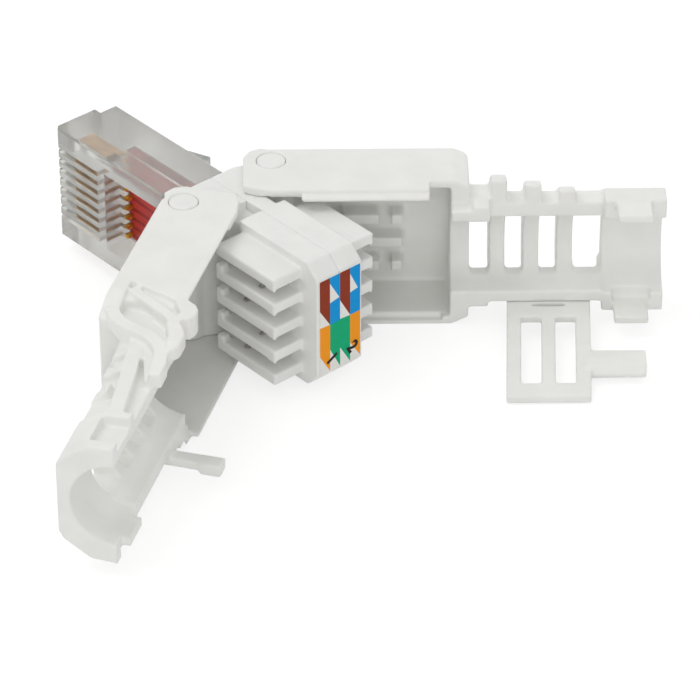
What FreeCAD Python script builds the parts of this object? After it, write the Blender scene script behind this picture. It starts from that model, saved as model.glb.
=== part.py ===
import FreeCAD, Part
import os
import re

import Sketcher

# Field termination plug for eight wires, standing on its narrow side with both covers swung open.
# The plug points along -X, the cable leaves along +X, the contacts face -Y and the latch +Y.
# x = 0 is the line through both cover hinges, y = 0 the seam between the two halves of the
# terminal block, and z = 0 the face that it stands on. Every piece is drawn about its mid height.

SIZES = {
    # covers
    "cover_height": 14.5,
    "cover_depth": 7.2,
    "cover_length": 17.66,
    "cover_front": 2.5,
    "cover_wall": 0.8,
    "side_wall": 1.1,
    "rear_wall": 1.7,
    "hinge_spacing": 10.16,
    "pin_radius": 1.3,
    "pin_gap": 0.04,
    "knuckle_radius": 2.0,
    "knuckle_gap": 0.15,
    "ear_radius": 2.4,
    "latch_cover_angle": 49.25,
    "contact_cover_angle": 57.3,
    "plate_gap": 0.05,
    "mating_gap": 0.05,
    "lip_reach": 0.75,
    "lip_thickness": 0.4,
    "lip_front": 2.7,
    "lip_rear": 15.1,
    "corner_chamfer": 0.9,
    "edge_round": 0.5,
    # wire pushers inside the covers
    "pusher_front": 6.3,
    "pusher_rear": 11.8,
    "pusher_reach": 1.8,
    "pusher_height": 1.05,
    "pusher_slot": 1.1,
    # tails with their boot ribs
    "cable_radius": 3.7,
    "rail_height": 4.85,
    "rail_depth": 5.2,
    "rail_round": 2.4,
    "neck_height": 5.4,
    "neck_length": 1.79,
    "rib_pitch": 3.05,
    "rib_start": 20.25,
    "rib_width": 1.45,
    "rib_radius": 7.4,
    "rib_taper": 0.55,
    "rib_overlap": 1.35,
    "rib_foot": 0.75,
    "window_height": 6.2,
    "collar_start": 29.63,
    "collar_length": 5.5,
    "collar_height": 5.9,
    "collar_depth": 5.1,
    "collar_facet": 2.35,
    "collar_bore": 3.95,
    # snap tabs, their recesses and the locking tongue
    "tab_start": 30.65,
    "tab_width": 3.1,
    "tab_reach": 2.3,
    "tab_thickness": 0.8,
    "tab_gap": 0.15,
    "grip_reach": 0.8,
    "tongue_start": 19.6,
    "tongue_width": 1.35,
    "tongue_reach": 5.3,
    "tongue_thickness": 0.9,
    # strap
    "strap_start": 21.1,
    "strap_width": 7.5,
    "strap_length": 12.5,
    "strap_thickness": 0.75,
    "strap_drop": 1.5,
    "strap_gap": 0.05,
    "strap_root": 0.6,
    "strap_window_near": 2.0,
    "strap_window_far": 10.7,
    "strap_window_width": 1.8,
    "strap_slot_length": 2.9,
    "strap_slot_height": 0.4,
    "finger_near": 5.9,
    "finger_far": 10.3,
    "finger_length": 4.9,
    # plug nose
    "plug_front": 18.95,
    "plug_rear": 0.9,
    "plug_width": 11.68,
    "plug_thickness": 6.6,
    "nose_thickness": 4.78,
    "nose_length": 0.83,
    "contact_face": 4.52,
    "contact_pitch": 1.016,
    "blade_thickness": 0.35,
    "blade_front": 17.1,
    "blade_rear": 13.1,
    "blade_recess": 0.4,
    "blade_gap": 0.05,
    "blade_foot": 0.7,
    "slot_depth": 1.0,
    "window_front": 12.0,
    "window_rear": 3.2,
    "window_half": 4.05,
    # latch lever
    "lever_length": 13.6,
    "lever_angle": 13.0,
    "lever_thickness": 0.9,
    "lever_width": 3.2,
    "catch_width": 6.0,
    "catch_start": 4.2,
    "catch_length": 4.4,
    "lever_root": 17.3,
    # circuit board
    "board_face": 1.6,
    "board_thickness": 1.0,
    "board_front": 12.4,
    "board_rear": 13.2,
    "board_width": 9.0,
    "board_gap": 0.05,
    # terminal block and its hinge bracket
    "base_height": 12.8,
    "bracket_front": 2.4,
    "bracket_nose": 2.7,
    "bracket_rear": 2.6,
    "plug_gap": 0.06,
    "neck_half_latch": 1.7,
    "neck_half_contact": 2.2,
    "core_front": 4.65,
    "core_rear": 15.0,
    "core_half": 2.6,
    "core_chamfer": 1.3,
    "comb_front": 5.1,
    "comb_rear": 12.95,
    "comb_half": 5.79,
    "fin_pitch": 2.5,
    "fin_thickness": 1.1,
    "barb_height": 0.35,
    "barb_length": 1.0,
    "stop_height": 0.5,
    "stop_length": 0.8,
    # insulation displacement terminals
    "terminal_rear": 10.2,
    "terminal_front": 8.1,
    "terminal_thickness": 0.3,
    "terminal_height": 1.26,
    "terminal_tip": 5.1,
    "terminal_slit": 0.3,
    "terminal_gap": 0.04,
    # wiring label
    "label_half": 2.34,
    "label_height": 9.86,
    "label_thickness": 0.06,
}

# Places and shared measures, each worked out from the sizes above.
PLACES = {
    "mid_height": "cover_height / 2",
    "hinge_y": "hinge_spacing / 2",
    "wall_inside": "mid_height - cover_wall",
    "side_inside": "cover_depth - side_wall",
    "base_half": "wall_inside - plate_gap",
    "tail_end": "collar_start + collar_length",
    "plug_half": "plug_width / 2",
    "latch_face": "plug_thickness - contact_face",
    "fin_half": "fin_thickness / 2",
    "board_far": "board_face - board_thickness",
    "rail_bottom": "-rail_height",
}

BLADES = 8
WIRES_PER_SIDE = 4
LATCH_SIDE = 1
CONTACT_SIDE = -1

doc = FreeCAD.newDocument("FieldTerminationPlug")
sheet = doc.addObject("Spreadsheet::Sheet", "Sizes")
for row, (alias, value) in enumerate(SIZES.items(), start=1):
    sheet.set(f"A{row}", alias)
    sheet.set(f"B{row}", str(value))
    sheet.setAlias(f"B{row}", alias)
doc.recompute()


def bound(text):
    """The expression text with each place spelled out and each size read from the sheet."""

    def swap(match):
        word = match.group(0)
        if word in PLACES:
            return "(" + bound(PLACES[word]) + ")"
        return f"Sizes.{word}" if word in SIZES else word

    return re.sub(r"[a-z_]+[a-z0-9_]*", swap, text)


class Disc:
    """A circle in an outline, by its centre and radius."""

    def __init__(self, first, second, radius):
        self.first, self.second, self.radius = first, second, radius


class Piece:
    """One moulded or cut piece: a body whose features are drawn along x, across or up.

    Across runs outwards from the seam on the piece's own side. origin_across is where the piece's
    own origin lies on it, such as the hinge of a cover.
    """

    PLANES = {"up": "XY_Plane", "across": "XZ_Plane", "along": "YZ_Plane"}

    def __init__(self, label, side=LATCH_SIDE, origin_across="0"):
        self.body = doc.addObject("PartDesign::Body", label)
        self.body.Label = label
        self.side = side
        self.origin_across = origin_across
        self.count = 0

    def y(self, across):
        """The y of a place that is given across the seam."""
        return f"{self.side} * (({across}) - ({self.origin_across}))"

    def place(self, angle=None):
        """Stands the piece at its hinge and mid height, turned about z by the angle."""
        if angle:
            self.body.Placement = FreeCAD.Placement(
                FreeCAD.Vector(), FreeCAD.Rotation(FreeCAD.Vector(0, 0, self.side), 1)
            )
            self.body.setExpression("Placement.Rotation.Angle", bound(angle))
        across = f"{self.side} * ({self.origin_across})"
        self.body.setExpression("Placement.Base.y", bound(across))
        self.body.setExpression("Placement.Base.z", bound("mid_height"))
        return self

    def sketch(self, way, offset, outlines):
        """A sketch across the given way, with each outline tied to the sheet."""
        self.count += 1
        sketch = self.body.newObject("Sketcher::SketchObject", f"{self.body.Label}_sketch_{self.count}")
        planes = [o for o in self.body.Origin.OriginFeatures if o.Role == self.PLANES[way]]
        sketch.AttachmentSupport = [(planes[0], "")]
        sketch.MapMode = "FlatFace"
        sketch.setExpression("AttachmentOffset.Base.z", bound(offset))
        for outline in outlines:
            if isinstance(outline, Disc):
                self.draw_disc(sketch, way, outline)
            else:
                self.draw_polygon(sketch, way, outline)
        return sketch

    def pair(self, way, first, second):
        """The two sketch coordinates of a point that is given along, across or up."""
        if way == "up":
            return first, self.y(second)
        if way == "along":
            return self.y(first), second
        return first, second

    def tie(self, sketch, kind, geometry, end, text):
        """Holds a point at a distance from the sketch's origin that the sheet gives."""
        index = sketch.addConstraint(Sketcher.Constraint(kind, -1, 1, geometry, end, 1.0))
        sketch.setExpression(f"Constraints[{index}]", bound(text))

    def draw_disc(self, sketch, way, disc):
        circle = Part.Circle(FreeCAD.Vector(1, 1, 0), FreeCAD.Vector(0, 0, 1), 1)
        index = sketch.addGeometry(circle)
        first, second = self.pair(way, disc.first, disc.second)
        self.tie(sketch, "DistanceX", index, 3, first)
        self.tie(sketch, "DistanceY", index, 3, second)
        constraint = sketch.addConstraint(Sketcher.Constraint("Radius", index, 1.0))
        sketch.setExpression(f"Constraints[{constraint}]", bound(disc.radius))

    def draw_polygon(self, sketch, way, points):
        start = sketch.GeometryCount
        size = len(points)
        for i in range(size):
            here, after = FreeCAD.Vector(i, i * i % 5, 0), FreeCAD.Vector(i + 1, i % 3, 0)
            sketch.addGeometry(Part.LineSegment(here, after))
        for i in range(size):
            sketch.addConstraint(
                Sketcher.Constraint("Coincident", start + i, 2, start + (i + 1) % size, 1)
            )
        for i, (first, second) in enumerate(points):
            first, second = self.pair(way, first, second)
            self.tie(sketch, "DistanceX", start + i, 1, first)
            self.tie(sketch, "DistanceY", start + i, 1, second)

    def feature(self, kind, way, low, high, outlines):
        """A pad or pocket of the outlines between two places along its way."""
        adds = kind == "Pad"
        if way == "across":
            near, far = (low, high) if self.side > 0 else (high, low)
            offset = f"-({self.y(far if adds else near)})"
        else:
            offset = low if adds else high
        sketch = self.sketch(way, offset, outlines)
        name = f"{self.body.Label}_{kind.lower()}_{self.count}"
        solid = self.body.newObject(f"PartDesign::{kind}", name)
        solid.Profile = sketch
        solid.setExpression("Length", bound(f"({high}) - ({low})"))
        sketch.Visibility = False
        return solid

    def add(self, way, low, high, *outlines):
        return self.feature("Pad", way, low, high, outlines)

    def cut(self, way, low, high, *outlines):
        return self.feature("Pocket", way, low, high, outlines)

    def repeat(self, feature, pitch, number):
        """Repeats a feature upwards, one pitch apart."""
        pattern = self.body.newObject("PartDesign::LinearPattern", f"{feature.Name}_row")
        axis = [o for o in self.body.Origin.OriginFeatures if o.Role == "Z_Axis"][0]
        pattern.Originals = [feature]
        pattern.Direction = (axis, [""])
        pattern.setExpression("Length", bound(f"({pitch}) * {number - 1}"))
        pattern.Occurrences = number
        self.body.Tip = pattern
        return pattern

    def dress(self, kind, size, chosen):
        """A fillet or chamfer on each edge of the piece so far that the test picks."""
        doc.recompute()
        base = self.body.Tip
        names = [f"Edge{i}" for i, edge in enumerate(base.Shape.Edges, start=1) if chosen(edge)]
        feature = self.body.newObject(f"PartDesign::{kind}", f"{self.body.Label}_{kind.lower()}")
        feature.Base = (base, names)
        feature.setExpression("Radius" if kind == "Fillet" else "Size", bound(size))
        return feature


def box(first_low, first_high, second_low, second_high):
    """A rectangle's four corners."""
    return [
        (first_low, second_low),
        (first_high, second_low),
        (first_high, second_high),
        (first_low, second_high),
    ]


def slot_level(index):
    """The height of a wire slot's middle, counted from the top."""
    return f"({(WIRES_PER_SIDE - 1) / 2 - index}) * fin_pitch"


def terminal_place(side, index):
    """Neighbouring wires are pierced at two places in turn, so that their terminals clear."""
    at_rear = (index % 2 == 0) == (side == CONTACT_SIDE)
    return "terminal_rear" if at_rear else "terminal_front"


def rounded_section(height, depth, corner):
    """The outer half section of a tail, from the mating face outwards, with eased corners."""
    ease = f"({corner}) * 0.29"
    return [
        ("0", f"-({height})"),
        (f"({depth}) - ({corner})", f"-({height})"),
        (f"({depth}) - {ease}", f"-({height}) + {ease}"),
        (depth, f"-({height}) + ({corner})"),
        (depth, f"({height}) - ({corner})"),
        (f"({depth}) - {ease}", f"({height}) - {ease}"),
        (f"({depth}) - ({corner})", height),
        ("0", height),
    ]


def plug_housing():
    """The clear nose: body, shoulder, contact slots, window and the pocket for the board."""
    piece = Piece("plug_housing")
    profile = [
        ("-plug_front", "-contact_face + 0.3"),
        ("-plug_front + 0.3", "-contact_face"),
        ("plug_rear", "-contact_face"),
        ("plug_rear", "latch_face"),
        ("-plug_front + nose_length", "latch_face"),
        ("-plug_front + nose_length", "nose_thickness - contact_face"),
        ("-plug_front", "nose_thickness - contact_face"),
    ]
    piece.add("up", "-plug_half", "plug_half", profile)
    piece.dress("Fillet", "0.3", lambda edge: is_long_side(edge, "plug_width"))
    board_top = "board_width / 2 + board_gap"
    piece.cut(
        "up",
        f"-({board_top})",
        board_top,
        box("-board_front - board_gap", "plug_rear + 1", "-board_face - board_gap", "board_gap - board_far"),
    )
    piece.cut(
        "up", "-window_half", "window_half", box("-window_front", "-window_rear", "-contact_face - 1", "-board_face")
    )
    lowest = f"-contact_pitch * {(BLADES - 1) / 2}"
    half = "blade_thickness / 2 + blade_gap"
    slot = piece.cut(
        "up",
        f"{lowest} - ({half})",
        f"{lowest} + {half}",
        [
            ("-plug_front - 1", "-contact_face - 1"),
            ("-blade_rear + blade_gap", "-contact_face - 1"),
            ("-blade_rear + blade_gap", "-board_face - blade_foot - blade_gap"),
            ("-window_front + 0.5", "-board_face - blade_foot - blade_gap"),
            ("-window_front + 0.5", "-board_face"),
            ("-blade_front - blade_gap", "-board_face"),
            ("-blade_front - blade_gap", "-contact_face + slot_depth"),
            ("-plug_front - 1", "-contact_face + slot_depth"),
        ],
    )
    piece.repeat(slot, "contact_pitch", BLADES)
    return piece.place()


def is_long_side(edge, width):
    """True for the plug's outer edges at its two broad ends, away from the rear."""
    box_of = edge.BoundBox
    half = SIZES[width] / 2
    at_end = abs(abs(box_of.ZMin) - half) < 1e-6 and box_of.ZLength < 1e-6
    return at_end and box_of.XMax < SIZES["plug_rear"] + 1e-6 and box_of.YLength < 1e-6


def contact_blade(number):
    """A gold blade in its slot, with a foot that rests on the board."""
    piece = Piece(f"contact_blade_{number}")
    level = f"contact_pitch * {(BLADES + 1) / 2 - number}"
    profile = [
        ("-blade_front + 0.3", "-contact_face + blade_recess"),
        ("-blade_rear - 0.3", "-contact_face + blade_recess"),
        ("-blade_rear", "-contact_face + blade_recess + 0.3"),
        ("-blade_rear", "-board_face - blade_foot"),
        ("-board_front + 0.8", "-board_face - blade_foot"),
        ("-board_front + 0.8", "-board_face - board_gap"),
        ("-blade_front", "-board_face - board_gap"),
        ("-blade_front", "-contact_face + blade_recess + 0.3"),
    ]
    half = "blade_thickness / 2"
    piece.add("up", f"{level} - {half}", f"{level} + {half}", profile)
    return piece.place()


def latch_lever():
    """The clear latch: a lever hinged at the nose, with the two catch shoulders on its flanks."""
    piece = Piece("latch_lever")
    root_x, root_y = "-lever_root", "latch_face + lever_thickness / 2 + 0.1"

    def on_lever(distance, above):
        return (
            f"{root_x} + ({distance}) * cos(lever_angle * 1deg) - ({above}) * sin(lever_angle * 1deg)",
            f"{root_y} + ({distance}) * sin(lever_angle * 1deg) + ({above}) * cos(lever_angle * 1deg)",
        )

    half = "lever_thickness / 2"
    blade = [
        on_lever("0", f"-{half}"),
        on_lever("lever_length", f"-{half}"),
        on_lever("lever_length", half),
        on_lever("0", half),
    ]
    piece.add("up", "-lever_width / 2", "lever_width / 2", blade)
    piece.add("up", "-lever_width / 2", "lever_width / 2", Disc(root_x, root_y, half))
    catch = [
        on_lever("catch_start", f"-{half}"),
        on_lever("catch_start + catch_length", f"-{half}"),
        on_lever("catch_start + catch_length", f"{half} + 0.6"),
        on_lever("catch_start", half),
    ]
    piece.add("up", "-catch_width / 2", "catch_width / 2", catch)
    return piece.place()


def circuit_board():
    piece = Piece("circuit_board")
    outline = box("-board_front", "board_rear", "-board_face", "-board_far")
    piece.add("up", "-board_width / 2", "board_width / 2", outline)
    return piece.place()


def idc_block(side, label):
    """Half of the terminal block: hinge bracket with pins, neck, core and the comb of wire slots."""
    piece = Piece(label, side)
    hinge = "hinge_y"
    piece.add(
        "up",
        "-base_half",
        "base_half",
        [
            ("-bracket_front", "0"),
            ("-bracket_front", "bracket_nose"),
            ("-bracket_front + 1", "hinge_y"),
            ("bracket_rear - 0.8", "hinge_y"),
            ("bracket_rear", "hinge_y - 1.5"),
            ("bracket_rear", "0"),
        ],
    )
    piece.add("up", "-base_half", "base_half", Disc("0", hinge, "knuckle_radius"))
    piece.add("up", "-mid_height", "mid_height", Disc("0", hinge, "pin_radius"))
    neck = "neck_half_latch" if side == LATCH_SIDE else "neck_half_contact"
    drop = "0" if side == LATCH_SIDE else "0.9"
    piece.add(
        "up",
        f"-base_half + {drop}",
        f"base_half - {drop}",
        box("bracket_rear - 0.1", "core_front + 0.1", "0", neck),
    )
    piece.add(
        "across",
        "0",
        "core_half",
        [
            ("core_front", "-base_half"),
            ("core_rear - core_chamfer", "-base_half"),
            ("core_rear", "-base_half + core_chamfer"),
            ("core_rear", "base_half - core_chamfer"),
            ("core_rear - core_chamfer", "base_half"),
            ("core_front", "base_half"),
        ],
    )
    bottom_fin = f"-fin_pitch * {WIRES_PER_SIDE / 2} - fin_half"
    fin = piece.add(
        "up",
        bottom_fin,
        f"{bottom_fin} + fin_thickness",
        box("comb_front", "comb_rear", "core_half - 0.1", "comb_half"),
    )
    piece.repeat(fin, "fin_pitch", WIRES_PER_SIDE + 1)
    barb = [
        ("comb_half - 0.6", f"{bottom_fin} + fin_pitch + fin_half"),
        ("comb_half - 0.15", f"{bottom_fin} + fin_pitch - barb_height"),
        ("comb_half", f"{bottom_fin} + fin_pitch + fin_half"),
    ]
    barbs = piece.add("along", "comb_rear - barb_length", "comb_rear", barb)
    piece.repeat(barbs, "fin_pitch", WIRES_PER_SIDE)
    stops = piece.add(
        "up",
        f"{bottom_fin} + fin_half",
        f"{bottom_fin} + fin_thickness + stop_height",
        box("comb_front", "comb_front + stop_length", "comb_half - 0.9", "comb_half"),
    )
    piece.repeat(stops, "fin_pitch", WIRES_PER_SIDE)
    cut_plug_and_board(piece, side)
    for index in range(WIRES_PER_SIDE):
        place = terminal_place(side, index)
        half = "(terminal_thickness / 2 + terminal_gap)"
        inner = "board_face" if side == CONTACT_SIDE else "-board_face"
        piece.cut(
            "up",
            f"{slot_level(index)} - terminal_height / 2 - terminal_gap",
            f"{slot_level(index)} + terminal_height / 2 + terminal_gap",
            box(f"{place} - {half}", f"{place} + {half}", inner, "core_half + 0.2"),
        )
    return piece.place()


def cut_plug_and_board(piece, side):
    """Hollows the half for the plug's rear and the board, and fills the board's far side."""
    contact, latch = "contact_face + plug_gap", "latch_face + plug_gap"
    depth = contact if side == CONTACT_SIDE else latch
    piece.cut(
        "up",
        "-plug_half - plug_gap",
        "plug_half + plug_gap",
        box("-bracket_front - 1", "plug_rear + plug_gap", "-1", depth),
    )
    half = "board_width / 2 + board_gap"
    rear = "board_rear + board_gap"
    if side == CONTACT_SIDE:
        outline = box("0", rear, "-1", "board_face + board_gap")
        piece.cut("up", f"-({half})", half, outline)
        return
    fill = box("plug_rear + plug_gap", "board_rear", "-board_far + board_gap", "0.2")
    piece.add("up", f"-({half}) + board_gap * 2", f"{half} - board_gap * 2", fill)


def idc_terminal(number):
    """A forked terminal: its stem meets the board and its slit pierces the wire's jacket."""
    side = CONTACT_SIDE if number <= WIRES_PER_SIDE else LATCH_SIDE
    index = (number - 1) % WIRES_PER_SIDE
    piece = Piece(f"idc_terminal_{number}", side)
    place = terminal_place(side, index)
    level = slot_level(index)
    stem = "board_face + board_gap" if side == CONTACT_SIDE else "-board_far + board_gap"
    half = "terminal_height / 2"
    slit = "terminal_slit / 2"
    fork = [
        (stem, f"{level} - {half}"),
        ("terminal_tip - 0.3", f"{level} - {half}"),
        ("terminal_tip", f"{level} - {half} + 0.15"),
        ("terminal_tip - 0.5", f"{level} - {slit}"),
        ("terminal_tip - 2", f"{level} - {slit}"),
        ("terminal_tip - 2", f"{level} + {slit}"),
        ("terminal_tip - 0.5", f"{level} + {slit}"),
        ("terminal_tip", f"{level} + {half} - 0.15"),
        ("terminal_tip - 0.3", f"{level} + {half}"),
        (stem, f"{level} + {half}"),
    ]
    piece.add("along", f"{place} - terminal_thickness / 2", f"{place} + terminal_thickness / 2", fork)
    return piece.place()


def wiring_label():
    """The thin card of wire colours on the rear of the block."""
    piece = Piece("wiring_label")
    outline = box("-label_half", "label_half", "-label_height / 2", "label_height / 2")
    piece.add("along", "core_rear", "core_rear + label_thickness", outline)
    return piece.place()


def cover_shell(piece):
    """A cover's box: walls round the block, ears at the hinge and the opening for the cable."""
    piece.add(
        "up",
        "-mid_height",
        "mid_height",
        [
            ("0", "mating_gap"),
            ("cover_length", "mating_gap"),
            ("cover_length", "cover_depth"),
            ("0", "cover_depth"),
        ],
    )
    piece.dress("Fillet", "edge_round", is_outer_edge)
    piece.add(
        "up",
        "-mid_height",
        "mid_height",
        [
            ("0.5", "mating_gap"),
            ("0.5", "cover_depth - edge_round"),
            ("-cover_front + 1.5", "cover_depth - 0.05"),
            ("-cover_front + 0.5", "cover_depth - 0.6"),
            ("-cover_front", "cover_depth - 1.6"),
            ("-cover_front", "mating_gap + 0.85"),
            ("-cover_front * 0.55", "mating_gap + 0.3"),
        ],
    )
    piece.cut(
        "up",
        "-wall_inside",
        "wall_inside",
        [
            ("-cover_front - 1", "-1"),
            ("cover_length - rear_wall", "-1"),
            ("cover_length - rear_wall", "side_inside"),
            ("1", "side_inside"),
            ("1", "cover_depth + 1"),
            ("-cover_front - 1", "cover_depth + 1"),
        ],
    )
    around = Disc("0", "hinge_y", "knuckle_radius + knuckle_gap")
    piece.cut("up", "-wall_inside", "wall_inside", around)
    piece.cut("up", "-mid_height - 1", "mid_height + 1", Disc("0", "hinge_y", "pin_radius + pin_gap"))


def is_outer_edge(edge):
    """True for the long outer edges of a cover and its two upright rear edges."""
    box_of = edge.BoundBox
    far = SIZES["cover_depth"] - SIZES["hinge_spacing"] / 2
    outside = abs(abs(box_of.YMax) - far) < 1e-6 and box_of.YLength < 1e-6
    return outside and box_of.XMax > 1


def cover_tail(piece):
    """A cover's half of the tail: neck, rails, boot ribs and the end collar."""
    start = "cover_length - 0.1"
    neck_end = "cover_length + neck_length"
    piece.add("along", start, neck_end, rounded_section("neck_height", "rail_depth + 0.3", "rail_round"))
    piece.add(
        "along", start, "collar_start + 0.1", rounded_section("rail_height", "rail_depth", "rail_round")
    )
    piece.add(
        "along",
        "collar_start",
        "tail_end",
        [
            ("0", "-collar_height"),
            ("collar_facet", "-collar_height + 0.15"),
            ("collar_depth - 0.4", "-collar_height + 1.75"),
            ("collar_depth", "-collar_height + 2.5"),
            ("collar_depth", "collar_height - 2.5"),
            ("collar_depth - 0.4", "collar_height - 1.75"),
            ("collar_facet", "collar_height - 0.15"),
            ("0", "collar_height"),
        ],
    )


def boot_ribs(piece):
    """The three ribs of a boot, each an arc that runs over the tail and shrinks to the rear."""
    over = "-rib_overlap + mating_gap" if piece.side == CONTACT_SIDE else "rib_overlap + mating_gap"
    low = "-rail_height - rib_foot" if piece.side == CONTACT_SIDE else "-rail_height"
    for index in range(3):
        radius = f"(rib_radius - rib_taper * {index})"
        middle = f"(rib_start + rib_pitch * {index})"
        arc = [(f"{radius} * {a}", f"{radius} * {b}") for a, b in RIB_ARC]
        points = [(over, "0"), (over, f"{radius} * 0.97"), *arc, ("cable_radius", low)]
        piece.add("along", f"{middle} - rib_width / 2", f"{middle} + rib_width / 2", points)


# Directions of a rib's arc, outwards and up, from the top of the tail to its lower side.
RIB_ARC = [
    (0.30, 0.954),
    (0.50, 0.866),
    (0.68, 0.733),
    (0.82, 0.572),
    (0.93, 0.367),
    (0.985, 0.174),
    (1.0, 0.0),
    (0.985, -0.174),
    (0.93, -0.367),
    (0.82, -0.572),
]


def hollow_tail(piece):
    """Bores the tail for the cable and opens the windows between the ribs."""
    piece.cut(
        "along",
        "cover_length - rear_wall - 0.5",
        "tail_end + 1",
        Disc("0", "0", "cable_radius"),
    )
    piece.cut("along", "collar_start", "tail_end + 1", Disc("0", "0", "collar_bore"))
    window = "window_height / 2"
    starts = ["cover_length + 0.1"] + [f"rib_start + rib_pitch * {i} + rib_width / 2" for i in range(3)]
    ends = [f"rib_start + rib_pitch * {i} - rib_width / 2" for i in range(3)] + ["collar_start"]
    outlines = [box(a, b, f"-{window}", window) for a, b in zip(starts, ends)]
    piece.cut("across", "cable_radius / 2", "rib_radius + 1", *outlines)


def pushers(piece):
    """Bars that press each wire into its terminal, parted where the terminal stands."""
    for index in range(WIRES_PER_SIDE):
        level = slot_level(index)
        place = terminal_place(piece.side, index)
        spans = [
            ("pusher_front", f"{place} - pusher_slot / 2"),
            (f"{place} + pusher_slot / 2", "pusher_rear"),
        ]
        bars = [box(a, b, "side_inside - pusher_reach", "side_inside + 0.1") for a, b in spans]
        piece.add("up", f"{level} - pusher_height / 2", f"{level} + pusher_height / 2", *bars)


def mating_lip(piece, up):
    """The lip of one cover and the rebate for it in the other, at the top or bottom wall."""
    low, high = "wall_inside", "wall_inside + lip_thickness"
    if not up:
        low, high = f"-({high})", f"-({low})"
    outline = box("lip_front", "lip_rear", "-lip_reach", "0.3")
    piece.add("up", low, high, outline)


def lip_rebate(piece, up):
    low, high = "wall_inside - 0.5", "wall_inside + lip_thickness + mating_gap"
    if not up:
        low, high = f"-({high})", f"-({low})"
    outline = box("lip_front - 0.2", "lip_rear + 0.2", "-1", "lip_reach + 0.1")
    piece.cut("up", low, high, outline)


def cover_latch_side():
    """The cover on the latch side, with the snap tabs."""
    piece = Piece("cover_latch_side", LATCH_SIDE, "hinge_y")
    cover_shell(piece)
    cover_tail(piece)
    boot_ribs(piece)
    piece.cut(
        "up",
        "0",
        "rib_radius + 1",
        box("cover_length + neck_length", "collar_start", "-1", "rib_overlap + mating_gap"),
    )
    hollow_tail(piece)
    pushers(piece)
    mating_lip(piece, True)
    lip_rebate(piece, False)
    for low, high in tab_levels():
        piece.add(
            "up", low, high, box("tab_start", "tab_start + tab_width", "-tab_reach", "collar_facet - 0.3")
        )
    piece.cut("along", "tab_start - 0.1", "tab_start + tab_width + 0.2", grip_outline("0.15"))
    return piece.place("latch_cover_angle")


def tab_levels():
    """Heights of the two snap tabs, above and below the cable."""
    high = "collar_height - 0.1"
    low = f"{high} - tab_thickness"
    return [(low, high), (f"-({high})", f"-({low})")]


def grip_outline(room):
    """The section of the toothed grip, or with room to spare the section of its recess."""
    reach = f"grip_reach + {room}"
    low, high = f"-collar_height + 1 - {room}", f"-collar_height + 1.9 + {room}"
    return [("-0.5", low), (reach, low), (reach, high), ("-0.5", high)]


def cover_contact_side():
    """The cover on the contact side, with the tongue, the toothed grip and the tab recesses."""
    piece = Piece("cover_contact_side", CONTACT_SIDE, "hinge_y")
    cover_shell(piece)
    cover_tail(piece)
    boot_ribs(piece)
    hollow_tail(piece)
    pushers(piece)
    mating_lip(piece, False)
    lip_rebate(piece, True)
    for low, high in tab_levels():
        outline = box("tab_start - tab_gap", "tab_start + tab_width + tab_gap", "-1", "tab_reach + tab_gap")
        if low.startswith("-"):
            piece.cut("up", "-collar_height - 1", f"{high} + tab_gap", outline)
        else:
            piece.cut("up", f"{low} - tab_gap", "collar_height + 1", outline)
    piece.add(
        "along",
        "tab_start",
        "tab_start + tab_width",
        [(f"-({a})", b) for a, b in grip_outline("0")],
    )
    tongue = box("tongue_start", "tongue_start + tongue_width", "-tongue_reach", "0.6")
    piece.add("up", "rail_bottom - 0.1 - tongue_thickness", "rail_bottom - 0.1", tongue)
    piece.add(
        "up",
        "rail_bottom - 0.1 - tongue_thickness",
        "rail_bottom + 0.3",
        box("tongue_start", "tongue_start + tongue_width", "0.1", "0.9"),
    )
    return piece.place("contact_cover_angle")


def cable_strap():
    """The strap on the latch side cover's lower rail, with its windows, slot and finger tab."""
    piece = Piece("cable_strap", LATCH_SIDE, "hinge_y")
    top = "rail_bottom - strap_gap"
    bend = "strap_drop * 0.33"
    piece.add(
        "along",
        "strap_start",
        "strap_start + strap_width",
        [
            ("strap_root", top),
            ("0", top),
            ("-strap_length * 0.5", f"{top} - {bend}"),
            ("-strap_length", f"{top} - strap_drop"),
            ("-strap_length", f"{top} - strap_drop - strap_thickness"),
            ("-strap_length * 0.5", f"{top} - {bend} - strap_thickness"),
            ("0", f"{top} - strap_thickness"),
            ("strap_root", f"{top} - strap_thickness"),
        ],
    )
    piece.add(
        "along",
        "strap_start + strap_width - 0.1",
        "strap_start + strap_width + finger_length",
        [
            ("-finger_near", f"{top} - {bend}"),
            ("-finger_far", f"{top} - {bend} * 2"),
            ("-finger_far", f"{top} - {bend} * 2 - strap_thickness - 0.2"),
            ("-finger_near", f"{top} - {bend} - strap_thickness - 0.2"),
        ],
    )
    half = "strap_window_width / 2"
    for index in (1, 2):
        middle = f"(rib_start + rib_pitch * {index})"
        piece.cut(
            "up",
            "-mid_height - 1",
            "0",
            box(f"{middle} - {half}", f"{middle} + {half}", "-strap_window_far", "-strap_window_near"),
        )
    middle = "(strap_start + strap_width / 2)"
    piece.cut(
        "up",
        "-mid_height - 1",
        "0",
        box(
            f"{middle} - strap_slot_length / 2",
            f"{middle} + strap_slot_length / 2",
            "-strap_slot_height - 0.05",
            "-0.05",
        ),
    )
    return piece.place("latch_cover_angle")


def build():
    """Every sub-part, in the order that it goes together."""
    pieces = [plug_housing(), latch_lever(), circuit_board()]
    pieces += [contact_blade(number) for number in range(1, BLADES + 1)]
    pieces += [
        idc_block(CONTACT_SIDE, "idc_block_contact_side"),
        idc_block(LATCH_SIDE, "idc_block_latch_side"),
    ]
    pieces += [idc_terminal(number) for number in range(1, 2 * WIRES_PER_SIDE + 1)]
    pieces += [wiring_label(), cover_contact_side(), cover_latch_side(), cable_strap()]
    return pieces


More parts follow.
